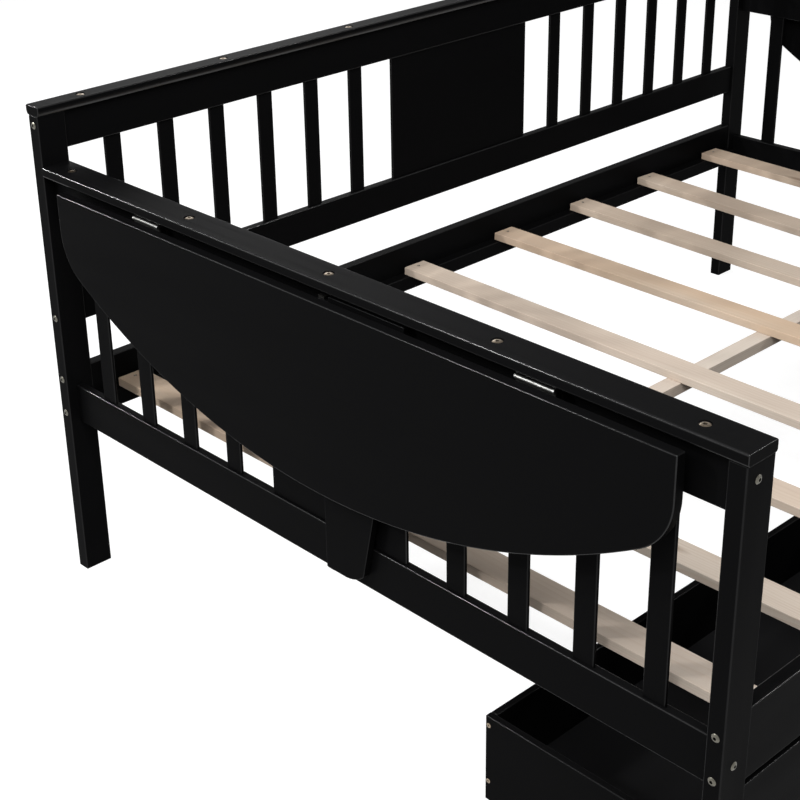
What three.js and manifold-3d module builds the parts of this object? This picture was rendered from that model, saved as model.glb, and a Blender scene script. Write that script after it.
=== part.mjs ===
// Daybed for a full mattress, with two rolling drawers and a drop leaf table at each end.
// Millimetres, +Z up. X runs along the bed, from the left end to the right end, -Y is the open front.
// The origin is on the floor, under the middle of the whole daybed.
import * as THREE from "three";
import { mergeVertices } from "three/addons/utils/BufferGeometryUtils.js";
import Module from "manifold-3d";

const wasm = await Module();
wasm.setup();

// Driving sizes of the frame.
const FRAME_LENGTH = 2020;
const FRAME_DEPTH = 1423;
const BACK_HEIGHT = 890;
const END_HEIGHT = 787;
const POST_LENGTH = 54;
const POST_THICKNESS = 26;
const RAIL_THICKNESS = 15;
const SEAT = 0.3;

// Caps along the back and over the two ends.
const CAP_THICKNESS = 17;
const BACK_CAP_OVERHANG = 5;
const BACK_CAP_BAND = 7;
const END_CAP_OVERHANG = 2;
const END_CAP_EASE = 3;
const END_CAP_ROUND = 4;

// Back panel.
const BACK_UPPER_RAIL_HEIGHT = 65;
const BACK_LOWER_RAIL_TOP = 557;
const BACK_LOWER_RAIL_HEIGHT = 64.5;
const BACK_BOARD_WIDTH = 394;
const BACK_SPINDLES_PER_SIDE = 6;
const BACK_SPINDLE_WIDTH = 34;

// End panels.
const END_UPPER_RAIL_HEIGHT = 78;
const END_LOWER_RAIL_TOP = 377;
const END_LOWER_RAIL_HEIGHT = 72;
const END_BOARD_WIDTH = 296;
const END_SPINDLES_PER_SIDE = 4;
const END_SPINDLE_WIDTH = 36;

// Spindles and boards stand in the rails on tenons.
const SPINDLE_THICKNESS = 6;
const BOARD_THICKNESS = 6;
const TENON = 5;

// Side rails, the cleats on their inner faces, the slats on the cleats and the beam under the slats.
const FRONT_SIDE_RAIL_HEIGHT = 110;
const REAR_SIDE_RAIL_HEIGHT = 100;
const SIDE_RAIL_BOTTOM = 306.5;
const SIDE_RAIL_THICKNESS = 20;
const CLEAT_DEPTH = 22;
const CLEAT_HEIGHT = 30;
const SLAT_TOP = 363;
const SLAT_THICKNESS = 16;
const SLAT_WIDTH = 55;
const SLAT_COUNT = 8;
const SLAT_END_CLEARANCE = 8;
const FIRST_SLAT_TO_POST = 78;
const LAST_SLAT_TO_POST = 90;

// The slats lie loose. How far each one's rear end is moved towards -X, and how many degrees it is turned.
const SLAT_MOVES = [0, 33, 33, 25, 0, -4, 0, -2];
const SLAT_TURNS = [0, 0, 0, 0.9, 0.7, 2.1, 3.8, 2.6];

const BEAM_WIDTH = 32;
const BEAM_HEIGHT = 22;
const BEAM_TO_FRONT = 20;

// Drop leaf: a straight top edge, short square ends, round corners and a bowed lower edge.
const LEAF_LENGTH = 1256;
const LEAF_DROP = 305.5;
const LEAF_BOW_RADIUS = 1126;
const LEAF_CORNER_RADIUS = 95;
const LEAF_THICKNESS = 17;
const LEAF_EDGE_BEVEL = 2;
const LEAF_TO_CAP = 0.5;

// Leaf hinges. The axis is level, under the outer edge of the end cap.
const HINGE_LENGTH = 65;
const HINGE_SPACING = 802;
const HINGE_BELOW_CAP = 7;
const HINGE_TO_RAIL = 16.5;
const KNUCKLE_RADIUS = 3.5;
const KNUCKLE_LENGTH = 24;
const HINGE_PIN_RADIUS = 1.4;
const HINGE_BORE_RADIUS = 1.8;
const HINGE_PLATE = 1.6;
const HINGE_PLATE_DROP = 30;
const KNUCKLE_CLEARANCE = 0.4;

// Swing bracket that holds the raised leaf. It is stowed flat between the leaf and the end rails.
const BRACKET_THICKNESS = 12;
const BRACKET_TO_RAIL = 1.2;
const BRACKET_BOTTOM = 313.2;
const BRACKET_TO_MIDDLE = 6.5;
const BRACKET_BOTTOM_WIDTH = 80.5;
const BRACKET_TOP_WIDTH = 174.5;
const BRACKET_TO_RAISED_LEAF = 0.5;
const BRACKET_NOTCH_WIDTH = 24;
const BRACKET_NOTCH_HEIGHT = 8;
const BRACKET_CORNER_RADIUS = 3;
const BRACKET_FLAT_BOTTOM = 39;
const BRACKET_SWEEP_RADIUS = 60;
const PIVOT_PIN_RADIUS = 2.5;
const PIVOT_BORE_RADIUS = 3;
const LUG_THICKNESS = 3;
const LUG_PAST_PIN = 0.2;

// Drawers, which stand on the floor on four wheels each.
const DRAWER_COUNT = 2;
const DRAWER_TO_POST = 3;
const DRAWER_GAP = 4;
const DRAWER_FRONT_TOP = 297;
const DRAWER_FRONT_BOTTOM = 12;
const DRAWER_FRONT_THICKNESS = 18;
const DRAWER_BOARD = 12;
const DRAWER_SIDE_TOP = 164.5;
const DRAWER_SIDE_BOTTOM = 12;
const DRAWER_DEPTH = 434.5;
const DRAWER_BOTTOM_THICKNESS = 6;
const DRAWER_GROOVE_HEIGHT = 28;
const DRAWER_GROOVE_DEPTH = 6;
const BATTEN_WIDTH = 22;
const BATTEN_BOTTOM = 12;
const WHEEL_RADIUS = 18;
const WHEEL_WIDTH = 10;
const WHEEL_CLEARANCE = 1;
const WHEEL_TO_SIDE = 6;
const WHEEL_TO_BATTEN_END = 70;
const AXLE_RADIUS = 3;
const AXLE_BORE_RADIUS = 3.4;
const WHEEL_ROUND = 2;

// Edge rounding and the number of steps that round forms have.
const EDGE_RADIUS = 2;
const POST_EDGE_RADIUS = 3;
const CORNER_STEPS = 3;
const BOW_STEPS = 32;
const LEAF_CORNER_STEPS = 8;
const PIN_SIDES = 16;
const WHEEL_SIDES = 32;

// Places that follow from the sizes above.
const postX = (FRAME_LENGTH - POST_LENGTH) / 2;
const postY = (FRAME_DEPTH - POST_THICKNESS) / 2;
const bayHalfLength = FRAME_LENGTH / 2 - POST_LENGTH;
const bayHalfDepth = FRAME_DEPTH / 2 - POST_THICKNESS;
const backCapBottom = BACK_HEIGHT - CAP_THICKNESS;
const endCapBottom = END_HEIGHT - CAP_THICKNESS;
const endRailFace = postX + RAIL_THICKNESS / 2;
const slatBottom = SLAT_TOP - SLAT_THICKNESS;
const cleatTop = slatBottom - SEAT;
const sideRailInner = postY - SIDE_RAIL_THICKNESS / 2;

const paint = { color: 0x17181a, roughness: 0.42, metalness: 0 };
const pine = { color: 0xe6d8c6, roughness: 0.7, metalness: 0 };
const steel = { color: 0xb9bbbd, roughness: 0.35, metalness: 1 };
const darkBoard = { color: 0x3a3b3d, roughness: 0.6, metalness: 0 };
const plastic = { color: 0x1c1c1d, roughness: 0.5, metalness: 0 };

const bed = new THREE.Group();

function place(parent, name, geometry, finish, x, y, z) {
  const mesh = new THREE.Mesh(geometry, new THREE.MeshStandardMaterial(finish));
  mesh.name = name;
  mesh.position.set(x, y, z);
  parent.add(mesh);
  return mesh;
}

// A closed geometry as a solid that can be joined and cut, and back.
function solidOf(geometry) {
  const bare = geometry.clone();
  bare.deleteAttribute("uv");
  bare.deleteAttribute("normal");
  const merged = mergeVertices(bare, 1e-4);
  return new wasm.Manifold(
    new wasm.Mesh({
      numProp: 3,
      vertProperties: merged.attributes.position.array,
      triVerts: new Uint32Array(merged.index.array),
    }),
  );
}

function geometryOf(solid) {
  const { vertProperties, triVerts } = solid.getMesh();
  const geometry = new THREE.BufferGeometry();
  geometry.setAttribute("position", new THREE.BufferAttribute(vertProperties, 3));
  geometry.setIndex(new THREE.BufferAttribute(triVerts, 1));
  geometry.computeVertexNormals();
  return geometry;
}

function join(...geometries) {
  return geometries.map(solidOf).reduce((sum, next) => sum.add(next));
}

function cut(solid, ...geometries) {
  return geometries.map(solidOf).reduce((rest, next) => rest.subtract(next), solid);
}

function box(x0, x1, y0, y1, z0, z1) {
  const geometry = new THREE.BoxGeometry(x1 - x0, y1 - y0, z1 - z0);
  return geometry.translate((x0 + x1) / 2, (y0 + y1) / 2, (z0 + z1) / 2);
}

// Points of an arc about (x, y), both ends included.
function arc(x, y, radius, from, to, steps) {
  return Array.from({ length: steps + 1 }, (unused, i) => {
    const angle = from + ((to - from) * i) / steps;
    return new THREE.Vector2(x + radius * Math.cos(angle), y + radius * Math.sin(angle));
  });
}

function roundedRectangle(width, height, radius) {
  const x = width / 2 - radius;
  const y = height / 2 - radius;
  const quarter = Math.PI / 2;
  return new THREE.Shape([
    ...arc(x, y, radius, 0, quarter, CORNER_STEPS),
    ...arc(-x, y, radius, quarter, 2 * quarter, CORNER_STEPS),
    ...arc(-x, -y, radius, 2 * quarter, 3 * quarter, CORNER_STEPS),
    ...arc(x, -y, radius, 3 * quarter, 4 * quarter, CORNER_STEPS),
  ]);
}

// A section pushed along an axis, centred. On "x" the section's own axes are Y and Z, on "y" they are X and Z.
function bar(section, length, axis) {
  const geometry = new THREE.ExtrudeGeometry(section, { depth: length, bevelEnabled: false });
  geometry.translate(0, 0, -length / 2);
  if (axis !== "z") geometry.rotateX(Math.PI / 2);
  if (axis === "x") geometry.rotateZ(Math.PI / 2);
  return geometry;
}

function board(width, height, length, axis, radius = EDGE_RADIUS) {
  return bar(roundedRectangle(width, height, radius), length, axis);
}

// A cylinder along Y or X with its lowest point on a vertex.
function rod(radius, length, axis, sides = PIN_SIDES) {
  const geometry = new THREE.CylinderGeometry(radius, radius, length, sides);
  if (axis === "x") geometry.rotateZ(Math.PI / 2);
  if (axis === "z") geometry.rotateX(Math.PI / 2);
  return geometry;
}

function buildPosts() {
  const places = { rear_left: [-1, 1], rear_right: [1, 1], front_left: [-1, -1], front_right: [1, -1] };
  for (const [corner, [sideX, sideY]] of Object.entries(places)) {
    const height = (sideY > 0 ? backCapBottom : endCapBottom) - SEAT;
    const geometry = board(POST_LENGTH, POST_THICKNESS, height, "z", POST_EDGE_RADIUS);
    place(bed, `${corner}_post`, geometry, paint, sideX * postX, sideY * postY, height / 2);
  }
}

// Section of the back cap: a band at the top, and under it a quarter ellipse down to the posts' thickness.
function backCapSection() {
  const half = POST_THICKNESS / 2 + BACK_CAP_OVERHANG;
  const coveHeight = CAP_THICKNESS - BACK_CAP_BAND;
  const side = arc(0, 0, 1, 0, -Math.PI / 2, 2 * CORNER_STEPS).map(
    (p) =>
      new THREE.Vector2(
        half - BACK_CAP_OVERHANG + BACK_CAP_OVERHANG * p.x,
        -BACK_CAP_BAND + coveHeight * p.y,
      ),
  );
  const top = arc(half - EDGE_RADIUS, -EDGE_RADIUS, EDGE_RADIUS, Math.PI / 2, 0, CORNER_STEPS);
  const right = [...top, ...side];
  const left = right.map((p) => new THREE.Vector2(-p.x, p.y)).reverse();
  return new THREE.Shape([...left, ...right].reverse());
}

// Section of an end cap, with eased top edges and a quarter round under each edge. It overhangs on its outer side.
function endCapSection(outerSide) {
  const edge = (side) => {
    const half = POST_LENGTH / 2 + (side === outerSide ? END_CAP_OVERHANG : 0);
    const bottom = END_CAP_ROUND - CAP_THICKNESS;
    const quarter = Math.PI / 2;
    const points = [
      ...arc(half - END_CAP_EASE, -END_CAP_EASE, END_CAP_EASE, quarter, 0, CORNER_STEPS),
      ...arc(half - END_CAP_ROUND, bottom, END_CAP_ROUND, 0, -quarter, CORNER_STEPS),
    ];
    return side > 0 ? points : points.map((p) => new THREE.Vector2(-p.x, p.y)).reverse();
  };
  return new THREE.Shape([...edge(-1), ...edge(1)].reverse());
}

// Centres of the spindles on both sides of the middle board, with equal gaps up to the posts.
function spindleCentres(bayHalf, boardWidth, count, width) {
  const gap = (bayHalf - boardWidth / 2 - count * width) / (count + 1);
  const right = Array.from(
    { length: count },
    (unused, i) => boardWidth / 2 + gap + width / 2 + i * (width + gap),
  );
  return [...right.map((x) => -x).reverse(), ...right];
}

// A lower rail with its spindles, along "x" or "y". Its origin is the middle of the rail's top edge.
function railWithSpindles(axis, bayHalf, railHeight, centres, spindleWidth, spindleHeight) {
  const rail = board(RAIL_THICKNESS, railHeight, 2 * (bayHalf - SEAT), axis);
  rail.translate(0, 0, -railHeight / 2);
  const spindles = centres.map((centre) => {
    const length = spindleHeight + TENON;
    const long = axis === "x";
    const geometry = board(
      long ? spindleWidth : SPINDLE_THICKNESS,
      long ? SPINDLE_THICKNESS : spindleWidth,
      length,
      "z",
      EDGE_RADIUS,
    );
    return geometry.translate(long ? centre : 0, long ? 0 : centre, length / 2 - TENON);
  });
  return geometryOf(join(rail, ...spindles));
}

function buildBack() {
  const capLength = FRAME_LENGTH;
  place(bed, "back_cap", bar(backCapSection(), capLength, "x"), paint, 0, postY, BACK_HEIGHT);
  const upperTop = backCapBottom - SEAT;
  const upperBottom = upperTop - BACK_UPPER_RAIL_HEIGHT;
  const upper = board(RAIL_THICKNESS, BACK_UPPER_RAIL_HEIGHT, 2 * (bayHalfLength - SEAT), "x");
  place(bed, "back_upper_rail", upper, paint, 0, postY, upperTop - BACK_UPPER_RAIL_HEIGHT / 2);
  const opening = upperBottom - BACK_LOWER_RAIL_TOP - SEAT;
  const centres = spindleCentres(
    bayHalfLength,
    BACK_BOARD_WIDTH,
    BACK_SPINDLES_PER_SIDE,
    BACK_SPINDLE_WIDTH,
  );
  const lower = railWithSpindles(
    "x",
    bayHalfLength,
    BACK_LOWER_RAIL_HEIGHT,
    centres,
    BACK_SPINDLE_WIDTH,
    opening,
  );
  place(bed, "back_lower_rail_with_spindles", lower, paint, 0, postY, BACK_LOWER_RAIL_TOP);
  const panel = board(BACK_BOARD_WIDTH, BOARD_THICKNESS, opening - SEAT, "z");
  const panelZ = BACK_LOWER_RAIL_TOP + SEAT + (opening - SEAT) / 2;
  place(bed, "back_middle_board", panel, paint, 0, postY, panelZ);
}

function buildEndPanel(name, side) {
  const x = side * postX;
  const capRear = postY - POST_THICKNESS / 2 - SEAT;
  const capFront = -(FRAME_DEPTH / 2 + END_CAP_OVERHANG);
  const cap = bar(endCapSection(side), capRear - capFront, "y");
  place(bed, `${name}_end_cap`, cap, paint, x, (capRear + capFront) / 2, END_HEIGHT);
  const upperTop = endCapBottom - SEAT;
  const upper = board(RAIL_THICKNESS, END_UPPER_RAIL_HEIGHT, 2 * (bayHalfDepth - SEAT), "y");
  place(bed, `${name}_end_upper_rail`, upper, paint, x, 0, upperTop - END_UPPER_RAIL_HEIGHT / 2);
  const opening = upperTop - END_UPPER_RAIL_HEIGHT - END_LOWER_RAIL_TOP - SEAT;
  const centres = spindleCentres(
    bayHalfDepth,
    END_BOARD_WIDTH,
    END_SPINDLES_PER_SIDE,
    END_SPINDLE_WIDTH,
  );
  const lower = railWithSpindles(
    "y",
    bayHalfDepth,
    END_LOWER_RAIL_HEIGHT,
    centres,
    END_SPINDLE_WIDTH,
    opening,
  );
  place(bed, `${name}_end_lower_rail_with_spindles`, lower, paint, x, 0, END_LOWER_RAIL_TOP);
  const panel = board(BOARD_THICKNESS, END_BOARD_WIDTH, opening - SEAT, "z");
  const panelZ = END_LOWER_RAIL_TOP + SEAT + (opening - SEAT) / 2;
  place(bed, `${name}_end_middle_board`, panel, paint, x, 0, panelZ);
}

// A side rail with the cleat on its inner face, which carries the slats' ends.
function buildSideRail(name, side, height) {
  const length = 2 * (bayHalfLength - SEAT);
  const rail = board(SIDE_RAIL_THICKNESS, height, length, "x");
  rail.translate(0, side * postY, SIDE_RAIL_BOTTOM + height / 2);
  const depth = CLEAT_DEPTH + EDGE_RADIUS;
  const cleat = board(depth, CLEAT_HEIGHT, length, "x");
  cleat.translate(0, side * (sideRailInner - CLEAT_DEPTH + depth / 2), cleatTop - CLEAT_HEIGHT / 2);
  place(bed, `${name}_side_rail`, geometryOf(join(rail, cleat)), paint, 0, 0, 0);
}

function buildDeck() {
  const length = 2 * (sideRailInner - SLAT_END_CLEARANCE);
  const first = -bayHalfLength + FIRST_SLAT_TO_POST;
  const last = bayHalfLength - LAST_SLAT_TO_POST;
  for (let i = 0; i < SLAT_COUNT; i += 1) {
    const x = first + ((last - first) * i) / (SLAT_COUNT - 1) - SLAT_MOVES[i];
    const slat = board(SLAT_WIDTH, SLAT_THICKNESS, length, "y").translate(0, -length / 2, 0);
    const z = slatBottom + SLAT_THICKNESS / 2;
    const laid = place(bed, `mattress_slat_${i + 1}`, slat, pine, x, length / 2, z);
    laid.rotation.z = -THREE.MathUtils.degToRad(SLAT_TURNS[i]);
  }
  const beamLength = 2 * (postX - RAIL_THICKNESS / 2 - SEAT);
  const beam = board(BEAM_WIDTH, BEAM_HEIGHT, beamLength, "x");
  place(bed, "centre_beam", beam, pine, 0, -BEAM_TO_FRONT, cleatTop - BEAM_HEIGHT / 2);
}

// Outline of the leaf as it hangs: its own x runs along the end, its own y is 0 at the top edge.
function leafOutline() {
  const half = LEAF_LENGTH / 2;
  const bowY = LEAF_BOW_RADIUS - LEAF_DROP;
  const cornerX = half - LEAF_CORNER_RADIUS;
  const cornerY = bowY - Math.sqrt((LEAF_BOW_RADIUS - LEAF_CORNER_RADIUS) ** 2 - cornerX ** 2);
  const turn = Math.atan2(cornerY - bowY, cornerX);
  const bow = arc(0, bowY, LEAF_BOW_RADIUS, -Math.PI - turn, turn, BOW_STEPS);
  const right = arc(cornerX, cornerY, LEAF_CORNER_RADIUS, turn, 0, LEAF_CORNER_STEPS).slice(1);
  const left = right.map((p) => new THREE.Vector2(-p.x, p.y)).reverse();
  return new THREE.Shape([
    ...left,
    ...bow,
    ...right,
    new THREE.Vector2(half, 0),
    new THREE.Vector2(-half, 0),
  ]);
}

// The table fittings of one end, in a group whose -X points out of the bed.
function buildTable(name, side) {
  const end = new THREE.Group();
  if (side > 0) end.rotation.z = Math.PI;
  bed.add(end);
  const railX = -endRailFace;
  const hingeX = railX - HINGE_TO_RAIL;
  const hingeZ = endCapBottom - HINGE_BELOW_CAP;
  const capEdge = -(FRAME_LENGTH / 2 + END_CAP_OVERHANG);
  const leafTop = hingeZ - (hingeX - capEdge) - LEAF_TO_CAP;
  buildLeaf(end, name, hingeX, leafTop);
  for (const [position, row] of [["rear", 1], ["front", -1]]) {
    const y = (-side * row * HINGE_SPACING) / 2;
    buildHinge(end, `${name}_${position}`, hingeX, y, hingeZ, railX);
  }
  buildBracket(end, name, railX, hingeZ);
}

function buildLeaf(end, name, innerX, top) {
  const shape = leafOutline();
  const bevel = LEAF_EDGE_BEVEL;
  const leaf = new THREE.ExtrudeGeometry(shape, {
    depth: LEAF_THICKNESS - 2 * bevel,
    bevelThickness: bevel,
    bevelSize: bevel,
    bevelOffset: -bevel,
    bevelSegments: 2,
  });
  leaf.translate(0, 0, bevel - LEAF_THICKNESS / 2);
  leaf.rotateX(Math.PI / 2);
  leaf.rotateZ(Math.PI / 2);
  place(end, `${name}_table_leaf`, leaf, paint, innerX - LEAF_THICKNESS / 2, 0, top);
}

// One leaf hinge. The fixed half bends from the knuckles to the rail's face and holds the pin.
function buildHinge(end, tag, x, y, z, railX) {
  const half = HINGE_LENGTH / 2;
  const middle = KNUCKLE_LENGTH / 2;
  const railGap = railX - x - SEAT;
  const flangeTop = KNUCKLE_RADIUS;
  const flangeBottom = KNUCKLE_RADIUS - HINGE_PLATE;
  const barrel = rod(KNUCKLE_RADIUS, HINGE_LENGTH, "y");
  const flange = box(0, railGap, -half, half, flangeBottom, flangeTop);
  const backPlate = box(railGap - HINGE_PLATE, railGap, -half, half, -HINGE_PLATE_DROP, flangeTop);
  const gapY = middle + KNUCKLE_CLEARANCE;
  const gapX = KNUCKLE_RADIUS + KNUCKLE_CLEARANCE;
  const notch = box(-gapX, gapX, -gapY, gapY, -gapX, gapX);
  const pin = rod(HINGE_PIN_RADIUS, HINGE_LENGTH, "y");
  const fixed = cut(join(barrel, flange, backPlate), notch).add(solidOf(pin));
  place(end, `${tag}_hinge_fixed_half`, geometryOf(fixed), steel, x, y, z);

  const knuckle = rod(KNUCKLE_RADIUS, KNUCKLE_LENGTH, "y");
  const neck = box(SEAT, SEAT + HINGE_PLATE, -middle, middle, -2 * KNUCKLE_RADIUS, 0);
  const plateTop = -KNUCKLE_RADIUS - KNUCKLE_CLEARANCE;
  const plate = box(SEAT, SEAT + HINGE_PLATE, -half, half, -HINGE_PLATE_DROP, plateTop);
  const bore = rod(HINGE_BORE_RADIUS, HINGE_LENGTH, "y");
  const moving = cut(join(knuckle, neck, plate), bore);
  place(end, `${tag}_hinge_moving_half`, geometryOf(moving), steel, x, y, z);
}

// The bracket's outline in its own plane: x runs from the pivot edge to the free edge, y is the height.
// The lower edge is flat near the pivot and sweeps up to the free edge on an arc.
function bracketOutline(top) {
  const low = BRACKET_BOTTOM;
  const radius = BRACKET_CORNER_RADIUS;
  const sweep = BRACKET_SWEEP_RADIUS;
  const rise = Math.asin((BRACKET_BOTTOM_WIDTH - BRACKET_FLAT_BOTTOM) / sweep);
  const down = -Math.PI / 2;
  return new THREE.Shape([
    ...arc(radius, low + radius, radius, Math.PI, 1.5 * Math.PI, CORNER_STEPS),
    ...arc(BRACKET_FLAT_BOTTOM, low + sweep, sweep, down, down + rise, 2 * CORNER_STEPS),
    new THREE.Vector2(BRACKET_TOP_WIDTH, top - radius),
    new THREE.Vector2(BRACKET_TOP_WIDTH - radius, top),
    new THREE.Vector2(BRACKET_NOTCH_WIDTH, top),
    new THREE.Vector2(BRACKET_NOTCH_WIDTH, top - BRACKET_NOTCH_HEIGHT),
    new THREE.Vector2(0, top - BRACKET_NOTCH_HEIGHT),
  ]);
}

// The bracket and the pin that it swings on, which two lugs hold to the end rails.
function buildBracket(end, name, railX, leafUnderside) {
  const top = leafUnderside - BRACKET_TO_RAISED_LEAF;
  const outer = railX - BRACKET_TO_RAIL - BRACKET_THICKNESS;
  const middle = outer + BRACKET_THICKNESS / 2;
  const plate = new THREE.ExtrudeGeometry(bracketOutline(top), {
    depth: BRACKET_THICKNESS,
    bevelEnabled: false,
  });
  plate.rotateX(Math.PI / 2);
  plate.rotateZ(-Math.PI / 2);
  plate.translate(outer + BRACKET_THICKNESS, BRACKET_TO_MIDDLE, 0);
  const pivotY = BRACKET_TO_MIDDLE - BRACKET_THICKNESS / 2;
  const boreTop = top - BRACKET_NOTCH_HEIGHT;
  const length = boreTop - BRACKET_BOTTOM;
  const bore = rod(PIVOT_BORE_RADIUS, 2 * length, "z");
  bore.translate(middle, pivotY, BRACKET_BOTTOM + length / 2);
  place(end, `${name}_leaf_bracket`, geometryOf(cut(solidOf(plate), bore)), paint, 0, 0, 0);

  const pinBottom = BRACKET_BOTTOM - SEAT - LUG_THICKNESS;
  const pinTop = boreTop + SEAT + LUG_THICKNESS;
  const pin = rod(PIVOT_PIN_RADIUS, pinTop - pinBottom, "z");
  pin.translate(middle, pivotY, (pinTop + pinBottom) / 2);
  const lugX = middle - PIVOT_PIN_RADIUS - LUG_PAST_PIN;
  const half = BRACKET_THICKNESS / 2;
  const lug = (bottom) =>
    box(lugX, railX - SEAT, pivotY - half, pivotY + half, bottom, bottom + LUG_THICKNESS);
  const pivot = join(pin, lug(pinBottom), lug(boreTop + SEAT));
  place(end, `${name}_bracket_pivot`, geometryOf(pivot), steel, 0, 0, 0);
}

// A drawer's sizes along X, from the bay between the front posts.
function drawerWidth() {
  const clear = 2 * (bayHalfLength - DRAWER_TO_POST) - (DRAWER_COUNT - 1) * DRAWER_GAP;
  return clear / DRAWER_COUNT;
}

// A board with the groove that holds the drawer's bottom. The groove faces +X, +Y or -Y.
function groovedBoard(x0, x1, y0, y1, z0, z1, facing) {
  const low = DRAWER_SIDE_BOTTOM + DRAWER_GROOVE_HEIGHT - SEAT;
  const high = low + DRAWER_BOTTOM_THICKNESS + 2 * SEAT;
  const deep = DRAWER_GROOVE_DEPTH;
  const past = 1;
  const along = {
    "+x": [x1 - deep, x1 + past, y0 - past, y1 + past],
    "-x": [x0 - past, x0 + deep, y0 - past, y1 + past],
    "+y": [x0 - past, x1 + past, y1 - deep, y1 + past],
    "-y": [x0 - past, x1 + past, y0 - past, y0 + deep],
  }[facing];
  const blank = board(x1 - x0, y1 - y0, z1 - z0, "z", 1);
  blank.translate((x0 + x1) / 2, (y0 + y1) / 2, (z0 + z1) / 2);
  return geometryOf(cut(solidOf(blank), box(...along, low, high)));
}

function buildDrawer(index) {
  const name = `drawer_${index + 1}`;
  const width = drawerWidth();
  const drawer = new THREE.Group();
  drawer.position.x = -bayHalfLength + DRAWER_TO_POST + width / 2 + index * (width + DRAWER_GAP);
  bed.add(drawer);
  const half = width / 2;
  const frontFace = -(postY + SIDE_RAIL_THICKNESS / 2);
  const frontBack = frontFace + DRAWER_FRONT_THICKNESS;
  const rear = frontFace + DRAWER_DEPTH;
  const innerX = half - DRAWER_BOARD;
  const low = DRAWER_SIDE_BOTTOM;
  const high = DRAWER_SIDE_TOP;

  const front = groovedBoard(-half, half, frontFace, frontBack, DRAWER_FRONT_BOTTOM, DRAWER_FRONT_TOP, "+y");
  place(drawer, `${name}_front`, front, paint, 0, 0, 0);
  const left = groovedBoard(-half, -innerX, frontBack + SEAT, rear, low, high, "+x");
  place(drawer, `${name}_left_side`, left, paint, 0, 0, 0);
  const right = groovedBoard(innerX, half, frontBack + SEAT, rear, low, high, "-x");
  place(drawer, `${name}_right_side`, right, paint, 0, 0, 0);
  const backHalf = innerX - SEAT;
  const back = groovedBoard(-backHalf, backHalf, rear - DRAWER_BOARD, rear, low, high, "-y");
  place(drawer, `${name}_back`, back, paint, 0, 0, 0);

  const reach = DRAWER_GROOVE_DEPTH - SEAT;
  const bottomZ = low + DRAWER_GROOVE_HEIGHT;
  const floorBoard = box(
    -innerX - reach,
    innerX + reach,
    frontBack - reach,
    rear - DRAWER_BOARD + reach,
    bottomZ,
    bottomZ + DRAWER_BOTTOM_THICKNESS,
  );
  const battenFront = frontBack + SEAT;
  const battenRear = rear - DRAWER_BOARD - SEAT;
  const wheelX = innerX - WHEEL_TO_SIDE - WHEEL_WIDTH / 2;
  const battenOuter = wheelX - WHEEL_WIDTH / 2 - WHEEL_CLEARANCE;
  const wheelYs = [battenFront + WHEEL_TO_BATTEN_END, battenRear - WHEEL_TO_BATTEN_END];
  const pieces = [floorBoard];
  for (const side of [-1, 1]) {
    const a = side * battenOuter;
    const b = side * (battenOuter - BATTEN_WIDTH);
    const top = bottomZ + DRAWER_BOTTOM_THICKNESS / 2;
    pieces.push(box(Math.min(a, b), Math.max(a, b), battenFront, battenRear, BATTEN_BOTTOM, top));
    for (const y of wheelYs) {
      const axleLength = WHEEL_WIDTH + 2 * WHEEL_CLEARANCE + BATTEN_WIDTH / 2;
      const axle = rod(AXLE_RADIUS, axleLength, "x");
      const outerEnd = wheelX + WHEEL_WIDTH / 2 + WHEEL_CLEARANCE;
      pieces.push(axle.translate(side * (outerEnd - axleLength / 2), y, WHEEL_RADIUS));
    }
  }
  place(drawer, `${name}_bottom`, geometryOf(join(...pieces)), darkBoard, 0, 0, 0);
  const corners = { front_left: [-1, 0], front_right: [1, 0], rear_left: [-1, 1], rear_right: [1, 1] };
  for (const [corner, [side, row]] of Object.entries(corners)) {
    place(drawer, `${name}_${corner}_wheel`, wheel(), plastic, side * wheelX, wheelYs[row], WHEEL_RADIUS);
  }
}

// A plain wheel that turns about X, with rounded tread edges and a bore for its axle.
function wheel() {
  const half = WHEEL_WIDTH / 2;
  const outer = WHEEL_RADIUS;
  const profile = [
    [AXLE_BORE_RADIUS, -half],
    [outer - WHEEL_ROUND, -half],
    [outer, -half + WHEEL_ROUND],
    [outer, half - WHEEL_ROUND],
    [outer - WHEEL_ROUND, half],
    [AXLE_BORE_RADIUS, half],
    [AXLE_BORE_RADIUS, -half],
  ].map(([radius, y]) => new THREE.Vector2(radius, y));
  return new THREE.LatheGeometry(profile, WHEEL_SIDES).rotateZ(Math.PI / 2);
}

buildPosts();
buildBack();
for (const [name, side] of [["left", -1], ["right", 1]]) {
  buildEndPanel(name, side);
  buildTable(name, side);
}
buildSideRail("rear", 1, REAR_SIDE_RAIL_HEIGHT);
buildSideRail("front", -1, FRONT_SIDE_RAIL_HEIGHT);
buildDeck();
for (let i = 0; i < DRAWER_COUNT; i += 1) buildDrawer(i);

// The frame's box is centred on the origin: the back cap reaches further past its posts than the end caps.
bed.position.y = (END_CAP_OVERHANG - BACK_CAP_OVERHANG) / 2;
const daybed = new THREE.Group();
daybed.add(bed);

export default daybed;
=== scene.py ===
"""Dresses the daybed: satin black paint, pale pine, zinc fittings, and the stage that it stands on.

Metres, +Z up. X runs along the bed, from the left end to the right end, and -Y is the open front.
"""

import math

import bpy
import numpy as np
from mathutils import Matrix, Vector


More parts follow.
